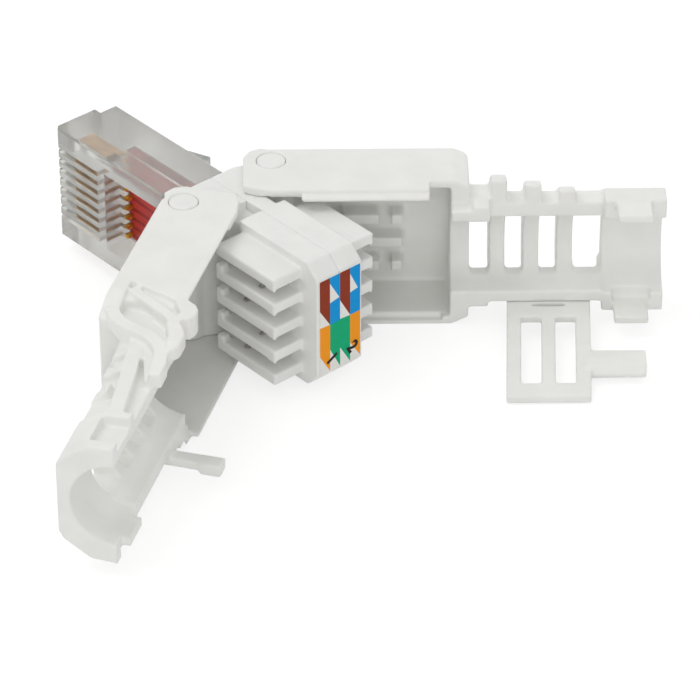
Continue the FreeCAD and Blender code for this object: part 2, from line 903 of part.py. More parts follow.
def check_and_write(pieces):
    """Stops on a failed object or shape, then writes each sub-part's file."""
    doc.recompute()
    for item in doc.Objects:
        if "Invalid" in item.State or "Error" in item.State:
            raise RuntimeError(f"{item.Label} failed: {item.State}")
    os.makedirs("parts", exist_ok=True)
    for piece in pieces:
        shape = piece.body.Shape
        if shape.isNull() or not shape.isValid() or not shape.Solids:
            raise RuntimeError(f"{piece.body.Label} has no valid solid")
        print(f"{piece.body.Label}: {len(shape.Solids)} solid, {shape.Volume:.3f} mm3")
        shape.exportStep(os.path.join("parts", f"{piece.body.Label}.step"))


check_and_write(build())
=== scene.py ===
"""Looks of a field termination plug.

Moulded white covers, a clear nose with gold blades and a red board, and a colour card.
"""

import logging
import math
from dataclasses import dataclass, field
from enum import Enum
from typing import Iterable, Optional, Sequence

import bmesh
import bpy
from mathutils import Matrix, Vector


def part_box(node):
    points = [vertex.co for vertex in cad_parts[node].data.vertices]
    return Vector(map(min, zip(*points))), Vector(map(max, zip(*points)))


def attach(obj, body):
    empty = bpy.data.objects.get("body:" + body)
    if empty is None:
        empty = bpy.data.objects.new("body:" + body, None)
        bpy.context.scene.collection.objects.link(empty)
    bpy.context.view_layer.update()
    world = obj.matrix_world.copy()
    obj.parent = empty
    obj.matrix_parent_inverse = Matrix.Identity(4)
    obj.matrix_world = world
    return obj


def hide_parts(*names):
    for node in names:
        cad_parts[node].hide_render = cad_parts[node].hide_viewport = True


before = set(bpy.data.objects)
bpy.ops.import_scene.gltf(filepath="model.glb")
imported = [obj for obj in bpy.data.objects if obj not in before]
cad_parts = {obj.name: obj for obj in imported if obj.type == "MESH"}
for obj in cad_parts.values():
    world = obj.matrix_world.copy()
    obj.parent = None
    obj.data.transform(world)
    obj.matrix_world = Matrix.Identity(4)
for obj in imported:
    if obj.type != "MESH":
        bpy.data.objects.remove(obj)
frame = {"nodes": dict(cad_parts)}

LOG = logging.getLogger("plug")
MM = 0.001
MERGE_WITHIN = 0.002 * MM

Colour = tuple[float, float, float, float]
Spot = tuple[float, float]


def linear_share(value: int) -> float:
    """Turns one display value of 0 to 255 into its linear share of full light."""
    share = value / 255
    return share / 12.92 if share <= 0.04045 else ((share + 0.055) / 1.055) ** 2.4


def linear(red: int, green: int, blue: int) -> Colour:
    """Turns a display colour of 0 to 255 into the linear colour that shaders take."""
    return (linear_share(red), linear_share(green), linear_share(blue), 1.0)


class Body(Enum):
    """The bodies of the frame that the scene's own pieces ride on."""

    BASE = "base"
    CONTACT_COVER = "contact_side_cover"
    LATCH_COVER = "latch_side_cover"
    STRAP = "strap"


class Slot(Enum):
    """The record's material slots that the scene's own pieces take."""

    WHITE = "white_plastic"
    BLOCK = "block_plastic"
    LABEL = "label"


class NodeTree:
    """A short way to fill a material's or a group's node tree."""

    def __init__(self, tree: bpy.types.NodeTree) -> None:
        """Keeps the tree that is filled."""
        self.tree = tree

    def add(self, kind: str, **settings: object) -> bpy.types.Node:
        """Adds a node.

        Args:
            kind: the node's type name.
            settings: properties of the node, or values of its inputs by name, where an
                underscore stands for a space.

        Returns:
            The new node.
        """
        node = self.tree.nodes.new(kind)
        for name, value in settings.items():
            if hasattr(node, name):
                setattr(node, name, value)
            else:
                node.inputs[name.replace("_", " ")].default_value = value
        return node

    def link(self, source: bpy.types.NodeSocket, target: bpy.types.NodeSocket) -> None:
        """Joins two sockets."""
        self.tree.links.new(source, target)

    def math(self, operation: str, *values: object) -> bpy.types.NodeSocket:
        """Adds a Math node whose inputs are numbers or sockets.

        Args:
            operation: the Math node's operation.
            values: its inputs in order.

        Returns:
            The node's result.
        """
        node = self.add("ShaderNodeMath", operation=operation)
        for socket, value in zip(node.inputs, values):
            if isinstance(value, bpy.types.NodeSocket):
                self.link(value, socket)
            else:
                socket.default_value = value
        return node.outputs[0]

    def seen(self) -> bpy.types.NodeSocket:
        """Adds what is 1 where the eye meets the surface, also in a mirror or through glass.

        Returns:
            The node's result.
        """
        path = self.add("ShaderNodeLightPath")
        direct = self.math(
            "MAXIMUM", path.outputs["Is Camera Ray"], path.outputs["Is Transmission Ray"]
        )
        return self.math("MAXIMUM", direct, path.outputs["Is Glossy Ray"])


class MouldedGrain:
    """A shared group: the faint mottle and fine texture of moulded plastic."""

    NAME = "moulded_grain"
    MOTTLE_RANGE = (0.35, 0.65)
    ROUGHNESS_SWING = 0.06

    @classmethod
    def group(cls) -> bpy.types.NodeTree:
        """Returns the group, and builds it the first time."""
        found = bpy.data.node_groups.get(cls.NAME)
        return found or cls.build()

    @classmethod
    def build(cls) -> bpy.types.NodeTree:
        """Builds the group: a mottled colour, a roughness and a height for a Bump node.

        Returns:
            The new node group.
        """
        tree = bpy.data.node_groups.new(cls.NAME, "ShaderNodeTree")
        interface = tree.interface
        for name, kind in (
            ("Colour", "NodeSocketColor"),
            ("Shade", "NodeSocketColor"),
            ("Mottle Scale", "NodeSocketFloat"),
            ("Grain Scale", "NodeSocketFloat"),
            ("Roughness", "NodeSocketFloat"),
        ):
            interface.new_socket(name, in_out="INPUT", socket_type=kind)
        for name, kind in (
            ("Colour", "NodeSocketColor"),
            ("Roughness", "NodeSocketFloat"),
            ("Height", "NodeSocketFloat"),
        ):
            interface.new_socket(name, in_out="OUTPUT", socket_type=kind)
        nodes = NodeTree(tree)
        inner = nodes.add("NodeGroupInput")
        outer = nodes.add("NodeGroupOutput")
        place = nodes.add("ShaderNodeTexCoord")
        mottle = nodes.add("ShaderNodeTexNoise", Detail=3.0, Roughness=0.55)
        grain = nodes.add("ShaderNodeTexNoise", Detail=2.0, Roughness=0.6)
        for noise, scale in ((mottle, "Mottle Scale"), (grain, "Grain Scale")):
            nodes.link(place.outputs["Object"], noise.inputs["Vector"])
            nodes.link(inner.outputs[scale], noise.inputs["Scale"])
        ramp = nodes.add("ShaderNodeMapRange")
        ramp.inputs["From Min"].default_value = cls.MOTTLE_RANGE[0]
        ramp.inputs["From Max"].default_value = cls.MOTTLE_RANGE[1]
        nodes.link(mottle.outputs["Fac"], ramp.inputs["Value"])
        mix = nodes.add("ShaderNodeMix", data_type="RGBA")
        nodes.link(ramp.outputs["Result"], mix.inputs[0])
        nodes.link(inner.outputs["Colour"], mix.inputs[6])
        nodes.link(inner.outputs["Shade"], mix.inputs[7])
        nodes.link(mix.outputs[2], outer.inputs["Colour"])
        swing = nodes.math(
            "MULTIPLY_ADD", ramp.outputs["Result"], cls.ROUGHNESS_SWING, -cls.ROUGHNESS_SWING / 2
        )
        rough = nodes.math("ADD", inner.outputs["Roughness"], swing)
        nodes.link(rough, outer.inputs["Roughness"])
        nodes.link(grain.outputs["Fac"], outer.inputs["Height"])
        return tree


@dataclass(frozen=True)
class Finish:
    """A finish by its own material; each kind fills the node tree in its own way."""

    name: str

    def material(self) -> bpy.types.Material:
        """Gives the finish's material, and builds it the first time.

        Returns:
            The material.
        """
        found = bpy.data.materials.get(self.name)
        if found:
            return found
        made = bpy.data.materials.new(self.name)
        made.use_nodes = True
        nodes = NodeTree(made.node_tree)
        made.node_tree.nodes.clear()
        shader = nodes.add("ShaderNodeBsdfPrincipled")
        output = nodes.add("ShaderNodeOutputMaterial")
        nodes.link(shader.outputs[0], output.inputs["Surface"])
        self.fill(nodes, shader)
        return made

    def fill(self, nodes: NodeTree, shader: bpy.types.Node) -> None:
        """Sets the shader, which each kind of finish does in its own way."""
        raise NotImplementedError


@dataclass(frozen=True)
class MouldedPlastic(Finish):
    """Opaque moulded plastic with a faint mottle and a fine grain."""

    colour: Colour = (0.8, 0.8, 0.8, 1.0)
    shade: Colour = (0.7, 0.7, 0.7, 1.0)
    roughness: float = 0.4
    mottle_scale: float = 260.0
    grain_scale: float = 5200.0
    grain_strength: float = 0.25
    grain_depth: float = 0.01 * MM
    bending: float = 1.5
    glow_through: float = 0.08
    glow_reach: float = 0.6 * MM
    glow_tint: tuple[float, float, float] = (1.0, 0.9, 0.8)

    def fill(self, nodes: NodeTree, shader: bpy.types.Node) -> None:
        """Feeds colour, roughness and normal from the shared grain.

        Args:
            nodes: the material's node tree.
            shader: its main shader.
        """
        grain = nodes.add("ShaderNodeGroup", node_tree=MouldedGrain.group())
        grain.inputs["Colour"].default_value = self.colour
        grain.inputs["Shade"].default_value = self.shade
        grain.inputs["Mottle Scale"].default_value = self.mottle_scale
        grain.inputs["Grain Scale"].default_value = self.grain_scale
        grain.inputs["Roughness"].default_value = self.roughness
        nodes.link(grain.outputs["Colour"], shader.inputs["Base Color"])
        nodes.link(grain.outputs["Roughness"], shader.inputs["Roughness"])
        bump = nodes.add("ShaderNodeBump", Strength=self.grain_strength, Distance=self.grain_depth)
        nodes.link(grain.outputs["Height"], bump.inputs["Height"])
        nodes.link(bump.outputs["Normal"], shader.inputs["Normal"])
        shader.inputs["IOR"].default_value = self.bending
        shader.inputs["Subsurface Weight"].default_value = self.glow_through
        shader.inputs["Subsurface Radius"].default_value = self.glow_tint
        shader.inputs["Subsurface Scale"].default_value = self.glow_reach


@dataclass(frozen=True)
class ClearPlastic(Finish):
    """Slightly milky clear plastic, with faint flow marks from moulding."""

    tint: Colour = linear(230, 230, 226)
    roughness: float = 0.24
    clear: float = 0.8
    bending: float = 1.45
    flow_scale: float = 500.0
    flow_strength: float = 0.12
    flow_depth: float = 0.02 * MM

    def fill(self, nodes: NodeTree, shader: bpy.types.Node) -> None:
        """Sets the glassy values and a shallow flow pattern.

        Args:
            nodes: the material's node tree.
            shader: its main shader.
        """
        place = nodes.add("ShaderNodeTexCoord")
        flow = nodes.add("ShaderNodeTexNoise", Scale=self.flow_scale, Detail=2.0, Roughness=0.5)
        nodes.link(place.outputs["Object"], flow.inputs["Vector"])
        bump = nodes.add("ShaderNodeBump", Strength=self.flow_strength, Distance=self.flow_depth)
        nodes.link(flow.outputs["Fac"], bump.inputs["Height"])
        nodes.link(bump.outputs["Normal"], shader.inputs["Normal"])
        shader.inputs["Base Color"].default_value = self.tint
        shader.inputs["Roughness"].default_value = self.roughness
        shader.inputs["Transmission Weight"].default_value = self.clear
        shader.inputs["IOR"].default_value = self.bending


@dataclass(frozen=True)
class PlatedMetal(Finish):
    """Plated metal with fine rolling marks along it."""

    bright: Colour = (0.8, 0.6, 0.2, 1.0)
    dull: Colour = (0.5, 0.3, 0.1, 1.0)
    roughness: float = 0.3
    marks: float = 900.0
    metal: float = 1.0
    stretch: tuple[float, float, float] = (1.0, 4.0, 4.0)
    dull_below: float = 0.38
    bright_above: float = 0.62

    def fill(self, nodes: NodeTree, shader: bpy.types.Node) -> None:
        """Mixes the bright and the dull plating over stretched marks.

        Args:
            nodes: the material's node tree.
            shader: its main shader.
        """
        place = nodes.add("ShaderNodeTexCoord")
        stretch = nodes.add("ShaderNodeMapping")
        stretch.inputs["Scale"].default_value = self.stretch
        marks = nodes.add("ShaderNodeTexNoise", Scale=self.marks, Detail=3.0, Roughness=0.6)
        nodes.link(place.outputs["Object"], stretch.inputs["Vector"])
        nodes.link(stretch.outputs["Vector"], marks.inputs["Vector"])
        ramp = nodes.add("ShaderNodeValToRGB")
        steps = ((self.dull_below, self.dull), (self.bright_above, self.bright))
        for element, (position, colour) in zip(ramp.color_ramp.elements, steps):
            element.position = position
            element.color = colour
        nodes.link(marks.outputs["Fac"], ramp.inputs["Fac"])
        nodes.link(ramp.outputs["Color"], shader.inputs["Base Color"])
        shader.inputs["Metallic"].default_value = self.metal
        shader.inputs["Roughness"].default_value = self.roughness


@dataclass(frozen=True)
class BoardLacquer(Finish):
    """Red solder lacquer over copper tracks."""

    red: Colour = linear(206, 66, 62)
    track: Colour = linear(166, 44, 44)
    pitch: float = 1.016 * MM
    wander_scale: float = 180.0
    wander_reach: float = 1.2 * MM
    track_edge: tuple[float, float] = (0.16, 0.2)
    track_depth: float = 0.03 * MM
    roughness: float = 0.35

    def fill(self, nodes: NodeTree, shader: bpy.types.Node) -> None:
        """Draws wandering tracks along the board, sunk a little below the lacquer.

        Args:
            nodes: the material's node tree.
            shader: its main shader.
        """
        place = nodes.add("ShaderNodeTexCoord")
        split = nodes.add("ShaderNodeSeparateXYZ")
        nodes.link(place.outputs["Object"], split.inputs[0])
        wander = nodes.add("ShaderNodeTexNoise", Scale=self.wander_scale, Detail=1.0)
        nodes.link(place.outputs["Object"], wander.inputs["Vector"])
        shift = nodes.math(
            "MULTIPLY_ADD", wander.outputs["Fac"], self.wander_reach, -self.wander_reach / 2
        )
        height = nodes.math("ADD", split.outputs["Z"], shift)
        turn = nodes.math("FRACT", nodes.math("DIVIDE", height, self.pitch))
        away = nodes.math("ABSOLUTE", nodes.math("SUBTRACT", turn, 0.5))
        line = nodes.add("ShaderNodeMapRange")
        line.inputs["From Min"].default_value = self.track_edge[0]
        line.inputs["From Max"].default_value = self.track_edge[1]
        nodes.link(away, line.inputs["Value"])
        mix = nodes.add("ShaderNodeMix", data_type="RGBA")
        mix.inputs[6].default_value = self.track
        mix.inputs[7].default_value = self.red
        nodes.link(line.outputs["Result"], mix.inputs[0])
        nodes.link(mix.outputs[2], shader.inputs["Base Color"])
        bump = nodes.add("ShaderNodeBump", Strength=0.5, Distance=self.track_depth)
        nodes.link(line.outputs["Result"], bump.inputs["Height"])
        nodes.link(bump.outputs["Normal"], shader.inputs["Normal"])
        shader.inputs["Roughness"].default_value = self.roughness


@dataclass(frozen=True)
class Card(Finish):
    """Printed card in one ink, with the faint unevenness of print."""

    ink: Colour = (0.8, 0.8, 0.8, 1.0)
    thin: Colour = (0.7, 0.7, 0.7, 1.0)
    spot_scale: float = 1500.0
    roughness: float = 0.5
    sheen: float = 0.15

    def fill(self, nodes: NodeTree, shader: bpy.types.Node) -> None:
        """Varies the ink a little over the card.

        Args:
            nodes: the material's node tree.
            shader: its main shader.
        """
        place = nodes.add("ShaderNodeTexCoord")
        spots = nodes.add("ShaderNodeTexNoise", Scale=self.spot_scale, Detail=3.0, Roughness=0.6)
        nodes.link(place.outputs["Object"], spots.inputs["Vector"])
        mix = nodes.add("ShaderNodeMix", data_type="RGBA")
        mix.inputs[6].default_value = self.ink
        mix.inputs[7].default_value = self.thin
        nodes.link(spots.outputs["Fac"], mix.inputs[0])
        nodes.link(mix.outputs[2], shader.inputs["Base Color"])
        shader.inputs["Roughness"].default_value = self.roughness
        shader.inputs["Specular IOR Level"].default_value = self.sheen


WHITE_NYLON = MouldedPlastic(
    "white_nylon", linear(243, 243, 240), linear(238, 238, 235), roughness=0.42
)
BLOCK_NYLON = MouldedPlastic(
    "block_nylon", linear(243, 243, 241), linear(237, 237, 235), roughness=0.34
)
CLEAR_NOSE = ClearPlastic("clear_nose")
CLEAR_LATCH = ClearPlastic("clear_latch", linear(225, 228, 226), roughness=0.15)
GOLD_PLATE = PlatedMetal(
    "gold_plate", linear(255, 200, 84), linear(206, 138, 44), roughness=0.36, metal=0.75
)
TIN_PLATE = PlatedMetal(
    "tin_plate", linear(205, 203, 198), linear(150, 146, 140), roughness=0.35, marks=1400.0
)
RED_BOARD = BoardLacquer("red_board")


class Ink(Enum):
    """The inks on the colour card, and the bare card."""

    PAPER = Card("card_paper", linear(244, 243, 240), linear(236, 235, 230))
    BROWN = Card("ink_brown", linear(150, 56, 26), linear(138, 48, 22))
    BLUE = Card("ink_blue", linear(0, 156, 228), linear(0, 146, 218))
    GREEN = Card("ink_green", linear(0, 178, 124), linear(0, 168, 114))
    ORANGE = Card("ink_orange", linear(255, 162, 28), linear(248, 152, 24))
    BLACK = Card("ink_black", linear(24, 22, 22), linear(34, 32, 32))


def deselect_all() -> None:
    """Leaves nothing selected, in object mode."""
    if bpy.context.object and bpy.context.object.mode != "OBJECT":
        bpy.ops.object.mode_set(mode="OBJECT")
    bpy.ops.object.select_all(action="DESELECT")


def make_active(piece: bpy.types.Object) -> None:
    """Selects one piece alone and makes it the active one."""
    deselect_all()
    piece.select_set(True)
    bpy.context.view_layer.objects.active = piece


def dress(piece: bpy.types.Object, finish: Finish) -> None:
    """Gives a piece one finish all over.

    Args:
        piece: the piece.
        finish: its finish.
    """
    piece.data.materials.clear()
    piece.data.materials.append(finish.material())
    for face in piece.data.polygons:
        face.material_index = 0


def copy_of(node: str, name: str) -> bpy.types.Object:
    """Copies a node's mesh as a new merged piece.

    Args:
        node: the frame's node.
        name: the new piece's name.

    Returns:
        The new piece, at the origin.
    """
    source = frame["nodes"][node]
    piece = bpy.data.objects.new(name, source.data.copy())
    bpy.context.scene.collection.objects.link(piece)
    make_active(piece)
    bpy.ops.object.mode_set(mode="EDIT")
    bpy.ops.mesh.select_all(action="SELECT")
    bpy.ops.mesh.remove_doubles(threshold=MERGE_WITHIN)
    bpy.ops.mesh.normals_make_consistent(inside=False)
    bpy.ops.object.mode_set(mode="OBJECT")
    return piece


def apply_modifier(piece: bpy.types.Object, kind: str, **settings: object) -> None:
    """Adds a modifier with its settings and applies it at once.

    Args:
        piece: the piece that it changes.
        kind: the modifier's type.
        settings: its properties by name.
    """
    modifier = piece.modifiers.new(kind.lower(), kind)
    for name, value in settings.items():
        setattr(modifier, name, value)
    make_active(piece)
    bpy.ops.object.modifier_apply(modifier=modifier.name)


@dataclass(frozen=True)
class Place:
    """A piece's own place, with the covers shut, in millimetres.

    It runs along the plug, outwards from the seam and up from mid height.
    """

    side: int = 1
    angle: float = 0.0
    hinge: float = 5.08
    middle: float = 7.25

    def to_rest(self) -> Matrix:
        """Finds the way from this place to the resting object in metres.

        Returns:
            The turn, shift and scale.
        """
        hinge = Vector((0.0, self.side * self.hinge, 0.0))
        turn = Matrix.Rotation(math.radians(self.side * self.angle), 4, "Z")
        lifted = Matrix.Translation(hinge + Vector((0.0, 0.0, self.middle)))
        return Matrix.Scale(MM, 4) @ lifted @ turn @ Matrix.Translation(-hinge)

    def point(self, along: float, out: float, up: float) -> Vector:
        """A point by its distances along the plug, out from the seam and up from mid height."""
        return Vector((along, self.side * out, up))


class Blank:
    """Makes plain closed solids in a piece's own place, to add to it or to cut from it."""

    def __init__(self, place: Place) -> None:
        """Keeps the place that the solids are made in."""
        self.place = place

    def solid(self, base: Sequence[Vector], reach: Vector) -> bpy.types.Object:
        """Draws a flat outline and gives it depth.

        Args:
            base: the outline's corners in order.
            reach: how far and which way it is extruded.

        Returns:
            The new solid.
        """
        deselect_all()
        bpy.ops.mesh.primitive_circle_add(vertices=len(base), radius=1.0, fill_type="NGON")
        piece = bpy.context.object
        for vertex, corner in zip(piece.data.vertices, base):
            vertex.co = corner
        bpy.ops.object.mode_set(mode="EDIT")
        bpy.ops.mesh.select_all(action="SELECT")
        bpy.ops.mesh.extrude_region_move(TRANSFORM_OT_translate={"value": tuple(reach)})
        bpy.ops.mesh.select_all(action="SELECT")
        bpy.ops.mesh.normals_make_consistent(inside=False)
        bpy.ops.object.mode_set(mode="OBJECT")
        return piece

    def up(self, outline: Sequence[Spot], low: float, high: float) -> bpy.types.Object:
        """A solid with this plan between two heights."""
        base = [self.place.point(along, out, low) for along, out in outline]
        return self.solid(base, Vector((0.0, 0.0, high - low)))

    def along(self, section: Sequence[Spot], start: float, end: float) -> bpy.types.Object:
        """A solid with this section, out and up, between two places along the plug."""
        base = [self.place.point(start, out, up) for out, up in section]
        return self.solid(base, Vector((end - start, 0.0, 0.0)))

    def across(self, outline: Sequence[Spot], inner: float, outer: float) -> bpy.types.Object:
        """A solid with this side view between two distances from the seam."""
        base = [self.place.point(along, inner, up) for along, up in outline]
        return self.solid(base, self.place.point(0.0, outer - inner, 0.0))


def block(start: float, end: float, inner: float, outer: float) -> list[Spot]:
    """The four corners of a plain plan."""
    return [(start, inner), (end, inner), (end, outer), (start, outer)]


def carve(piece: bpy.types.Object, *cutters: bpy.types.Object) -> None:
    """Cuts solids out of the piece one by one, and drops them.

    Args:
        piece: the piece that is cut.
        cutters: the solids.
    """
    for cutter in cutters:
        apply_modifier(piece, "BOOLEAN", operation="DIFFERENCE", solver="EXACT", object=cutter)
        bpy.data.objects.remove(cutter)


def weld(piece: bpy.types.Object, extra: bpy.types.Object) -> None:
    """Makes a solid one with the piece, so that later cuts go through both.

    Args:
        piece: the piece that grows.
        extra: the solid, which is dropped.
    """
    apply_modifier(piece, "BOOLEAN", operation="UNION", solver="EXACT", object=extra)
    bpy.data.objects.remove(extra)


def merge(piece: bpy.types.Object, *extras: bpy.types.Object) -> None:
    """Joins solids to the piece as they are, because its remesh makes them one later.

    Args:
        piece: the piece that grows.
        extras: the solids.
    """
    deselect_all()
    for extra in extras:
        extra.select_set(True)
    piece.select_set(True)
    bpy.context.view_layer.objects.active = piece
    bpy.ops.object.join()


@dataclass
class MouldedPiece:
    """A moulded piece: the node's own form with the eased edges that a mould gives."""

    node: str
    body: Body
    slot: Slot
    finish: Finish
    place: Place = Place()
    cell: float = 0.15
    rounds: int = 4
    share: float = 0.55

    def build(self) -> bpy.types.Object:
        """Copies the node, shapes it, eases its edges and dresses it.

        Returns:
            The piece that stands for the node.
        """
        piece = copy_of(self.node, f"{self.node}_moulded")
        rest = self.place.to_rest()
        piece.data.transform(rest.inverted())
        self.shape(piece, Blank(self.place))
        self.ease(piece)
        piece.data.transform(rest)
        dress(piece, self.finish)
        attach(piece, self.body.value)
        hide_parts(self.node)
        LOG.info("%s: %d faces", piece.name, len(piece.data.polygons))
        return piece

    def shape(self, piece: bpy.types.Object, blank: Blank) -> None:
        """Adds what the plain node lacks, which is nothing for most pieces.

        Args:
            piece: the piece in its own place.
            blank: makes solids in that place.
        """

    def ease(self, piece: bpy.types.Object) -> None:
        """Rounds every edge evenly by a fine remesh that is then smoothed.

        Args:
            piece: the piece in its own place.
        """
        apply_modifier(
            piece, "REMESH",
            mode="VOXEL", voxel_size=self.cell, adaptivity=0.0, use_smooth_shade=True,
        )
        apply_modifier(piece, "SMOOTH", factor=0.5, iterations=self.rounds)
        apply_modifier(piece, "DECIMATE", ratio=self.share)
        make_active(piece)
        bpy.ops.object.shade_smooth()


@dataclass
class Cover(MouldedPiece):
    """A cover, whose easing leaves a hair of room at the seam."""

    seam_room: float = 0.03
    seam_reach: float = 0.06

    def ease(self, piece: bpy.types.Object) -> None:
        """Eases the edges and draws back what came too near the seam or just over it.

        Args:
            piece: the piece in its own place.
        """
        super().ease(piece)
        for vertex in piece.data.vertices:
            if -self.seam_reach < vertex.co.y * self.place.side < self.seam_room:
                vertex.co.y = self.seam_room * self.place.side


def ribbon(path: Sequence[Spot], half: float) -> list[Spot]:
    """The outline of a band that follows a path.

    Args:
        path: the band's middle line.
        half: half the band's width.

    Returns:
        The outline's corners in order.
    """
    left, right = [], []
    for index, (along, out) in enumerate(path):
        before, after = path[max(index - 1, 0)], path[min(index + 1, len(path) - 1)]
        way = Vector((after[0] - before[0], after[1] - before[1])).normalized() * half
        left.append((along - way.y, out + way.x))
        right.append((along + way.y, out - way.x))
    return left + right[::-1]


@dataclass
class ContactCover(Cover):
    """The contact side cover.

    Its box falls to the tail in three curved ridges, whose lobes hang at the seam.
    """

    length: float = 17.66
    top: float = 7.25
    valley: float = 6.68
    dip: float = 6.35
    floor: float = 5.8
    riser_span: Spot = (0.05, 5.9)
    spare: float = 0.3
    border: float = 0.5
    border_fall: float = 1.5
    flank: float = 4.85
    tail_end: float = 29.6
    ribs: tuple[float, ...] = (5.5, 5.15, 4.85)
    rib_start: float = 20.25
    rib_pitch: float = 3.05
    rib_half: float = 0.68

    def shape(self, piece: bpy.types.Object, blank: Blank) -> None:
        """Cuts the plain rear and ribs away and lays the real ones in their place.

        Args:
            piece: the piece in its own place.
            blank: makes solids in that place.
        """
        end = self.length
        behind_first = [
            (13.0, 5.6), (13.5, 4.5), (14.0, 3.4), (14.3, 2.3), (14.8, 1.2), (15.5, 0.4),
            (16.3, -0.1), (16.4, -0.6), (end + 0.6, -0.6), (end + 0.6, 5.6),
        ]
        behind_second = [
            (15.25, 5.6), (15.25, 4.2), (15.5, 3.4), (15.9, 2.7), (16.4, 1.9), (17.1, 1.1),
            (end + 0.3, 0.5), (end + 0.6, 0.5), (end + 0.6, 5.6),
        ]
        between = [
            (15.35, 5.6), (15.35, 0.9), (15.9, 0.35), (16.5, 0.0), (16.6, -0.6),
            (end + 0.6, -0.6), (end + 0.6, 5.6),
        ]
        levels = ((behind_first, self.valley), (between, self.dip), (behind_second, self.floor))
        riser = [(14.36, 6.5), (15.2, 6.0), (15.3, 5.3), (16.2, 5.0), (16.2, 6.5)]
        tail = (end + 1.79, self.tail_end)
        for way in (1, -1):
            turned = [(along, way * up) for along, up in riser]
            weld(piece, blank.across(turned, *self.riser_span))
            for plan, level in levels:
                ends = sorted((way * (self.top + self.spare), way * level))
                carve(piece, blank.up(plan, *ends))
            wedge = [
                (end - 3.2, way * self.top),
                (end - 3.2, way * (self.top + self.border)),
                (end + 0.5, way * (self.top + self.border)),
                (end + 0.5, way * (self.top - self.border_fall)),
            ]
            carve(piece, blank.across(wedge, 5.0, 7.7))
        carve(
            piece,
            blank.up(block(*tail, -2.0, 8.5), self.flank, 8.2),
            blank.up(block(*tail, -2.0, 0.02), 3.0, 8.2),
            blank.up(block(*tail, 0.95, 8.5), -8.2, -self.flank),
            blank.up(block(*tail, 4.65, 8.5), -5.0, 5.0),
            blank.up(block(19.0, 21.5, -6.0, -4.65), -6.5, -4.5),
        )
        merge(piece, blank.up(block(19.55, 21.05, -4.6, -2.7), -6.15, -5.0))
        self.ridges(piece, blank)
        self.tail(piece, blank)
        self.lobes(piece, blank)

    def ridges(self, piece: bpy.types.Object, blank: Blank) -> None:
        """Adds the second and third ridges and the floor between them.

        Args:
            piece: the piece in its own place.
            blank: makes solids in that place.
        """
        end = self.length
        second = [
            (13.8, 5.3), (14.5, 4.4), (15.2, 3.3), (15.8, 2.4), (16.4, 1.5), (17.1, 0.7),
            (18.2, 0.0), (19.4, -0.5), (20.6, -0.6),
        ]
        third = [
            (16.4, 6.3), (17.4, 5.7), (18.2, 4.8), (18.7, 3.8), (19.0, 2.8), (19.5, 1.8),
            (20.3, 0.9), (21.5, 0.2), (23.0, -0.1), (24.6, -0.2),
        ]
        plan = [
            (end - 1.7, 0.05), (20.4, 0.05), (19.6, 1.4), (18.8, 2.4), (18.3, 3.6),
            (17.9, 4.6), (17.4, 5.4), (end - 1.7, 5.8),
        ]
        merge(
            piece,
            blank.up(ribbon(second, 0.5), 6.55, 7.1),
            blank.up(ribbon(second[3:], 0.5), 5.9, 7.05),
            blank.up(ribbon(second[4:], 0.5), 5.6, 7.0),
            blank.up(ribbon(third, 0.6), 5.0, 6.6),
            blank.up(ribbon(third[2:7], 0.5), 4.4, 6.2),
            blank.up(plan, 4.5, self.floor),
            blank.up(plan, -self.floor, -4.5),
        )

    def tail(self, piece: bpy.types.Object, blank: Blank) -> None:
        """Adds the spine along the tail and the ribs round its flank.

        Args:
            piece: the piece in its own place.
            blank: makes solids in that place.
        """
        spine = [(19.3, 3.8), (19.6, 2.4), (24.2, 1.6), (29.7, 0.9), (29.7, 2.2), (23.9, 3.0)]
        merge(piece, blank.up(spine, 4.4, 5.8))
        for index, depth in enumerate(self.ribs):
            middle = self.rib_start + self.rib_pitch * index
            section = [
                (3.3, 5.75), (depth - 0.75, 4.5), (depth - 0.1, 3.0), (depth, 0.0),
                (depth - 0.1, -3.0), (depth - 0.75, -4.3), (3.4, -5.35), (2.3, -5.35),
                (2.3, -4.5), (3.5, -3.3), (4.15, -2.0), (4.15, 2.0), (3.5, 3.3), (2.8, 4.4),
            ]
            rib = blank.along(section, middle - self.rib_half, middle + self.rib_half)
            merge(piece, rib)

    def lobes(self, piece: bpy.types.Object, blank: Blank) -> None:
        """Adds the three lobes in which the ridges end at the seam.

        Args:
            piece: the piece in its own place.
            blank: makes solids in that place.
        """
        first = [
            (14.3, 1.2), (14.5, 0.0), (15.0, -0.8), (15.7, -1.25), (16.6, -1.25),
            (17.3, -0.9), (17.4, -0.2), (16.9, 0.2), (16.2, 0.2), (15.2, 1.0),
        ]
        first_root = [corner for corner in first if corner[0] > 15.4] + [(15.5, 0.2)]
        second = [
            (17.2, 0.9), (17.7, 0.0), (18.4, -0.8), (19.4, -1.25), (20.9, -1.25),
            (21.5, -0.9), (21.5, -0.3), (20.6, 0.1), (19.4, 0.3), (18.2, 0.9),
        ]
        third = [
            (20.9, 0.9), (21.6, -0.3), (23.0, -0.75), (24.8, -0.75), (25.0, 0.3), (23.0, 0.6),
        ]
        third_root = [
            (19.2, 2.2), (20.4, 0.3), (22.0, 0.1), (24.8, 0.1), (24.8, 0.7), (21.0, 2.0),
        ]
        merge(
            piece,
            blank.up(first, 6.55, self.top - 0.05),
            blank.up(first_root, 5.0, 6.7),
            blank.up(second, 5.65, 6.95),
            blank.up(third, 5.05, 6.5),
            blank.up(third_root, 4.4, 5.7),
        )


